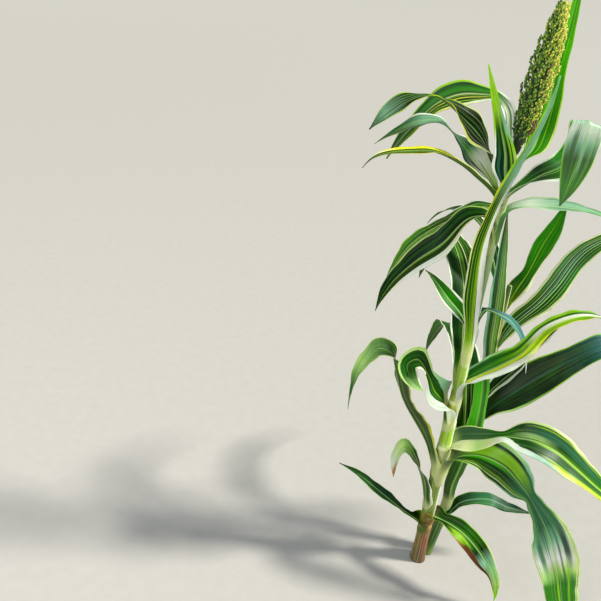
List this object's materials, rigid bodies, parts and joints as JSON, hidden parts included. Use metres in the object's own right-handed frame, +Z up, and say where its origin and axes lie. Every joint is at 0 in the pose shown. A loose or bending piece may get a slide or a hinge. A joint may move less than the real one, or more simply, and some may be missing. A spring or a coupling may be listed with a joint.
{
  "type": "sorghum plant",
  "caption": "Variegated sorghum plant: a tall stem ending in a narrow upright seed head, a shorter side stem, and long arching green leaves with cream margins and stripes.",
  "frame": {"origin": "centre of the main stem's flat foot at ground level", "axes": "+Z up, +X towards the right of the picture, +Y away from the viewer"},
  "size_m": [0.6502, 0.5451, 1.1181],
  "materials": {
    "stem": "pale green sheaths, faintly ribbed, semi-gloss",
    "leaf": "green blades with cream margins and stripes, semi-gloss",
    "seed_head": "packed matt grains, green to yellow"
  },
  "bodies": {
    "root": {"main_stem": "stem", "second_stem": "stem", "seed_head": "seed_head", "leaf_lowest_right": "leaf", "leaf_lowest_left": "leaf", "leaf_low_left_pale": "leaf", "leaf_big_right_front": "leaf", "leaf_big_right_front_end": "leaf", "leaf_mid_left_back": "leaf", "leaf_mid_left_back_end": "leaf", "leaf_wide_right": "leaf", "leaf_mid_left_white": "leaf", "leaf_mid_left_white_end": "leaf", "leaf_mid_right": "leaf", "leaf_mid_back": "leaf", "leaf_mid_back_end": "leaf", "leaf_upright_front": "leaf", "leaf_thin_left": "leaf", "leaf_small_blue": "leaf", "leaf_arch_left": "leaf", "leaf_arch_left_end": "leaf", "leaf_arch_left_behind": "leaf", "leaf_arch_left_behind_end": "leaf", "leaf_level_right": "leaf", "leaf_band_left": "leaf", "leaf_upright_left": "leaf", "leaf_high_left": "leaf", "leaf_curled_right": "leaf", "leaf_curled_right_end": "leaf", "leaf_top_left": "leaf", "leaf_top_left_end": "leaf", "leaf_wide_back": "leaf", "leaf_wide_back_end": "leaf", "leaf_flag": "leaf", "leaf_second_low": "leaf", "leaf_second_bright": "leaf", "leaf_second_back": "leaf", "leaf_second_back_end": "leaf", "leaf_second_dark_wide": "leaf", "leaf_second_dark_wide_end": "leaf", "leaf_second_right": "leaf", "leaf_second_upright": "leaf", "leaf_second_high_right": "leaf", "leaf_second_high_right_end": "leaf", "leaf_second_top_right": "leaf", "leaf_second_top_back": "leaf", "leaf_second_top_back_end": "leaf"}
  },
  "joints": []
}
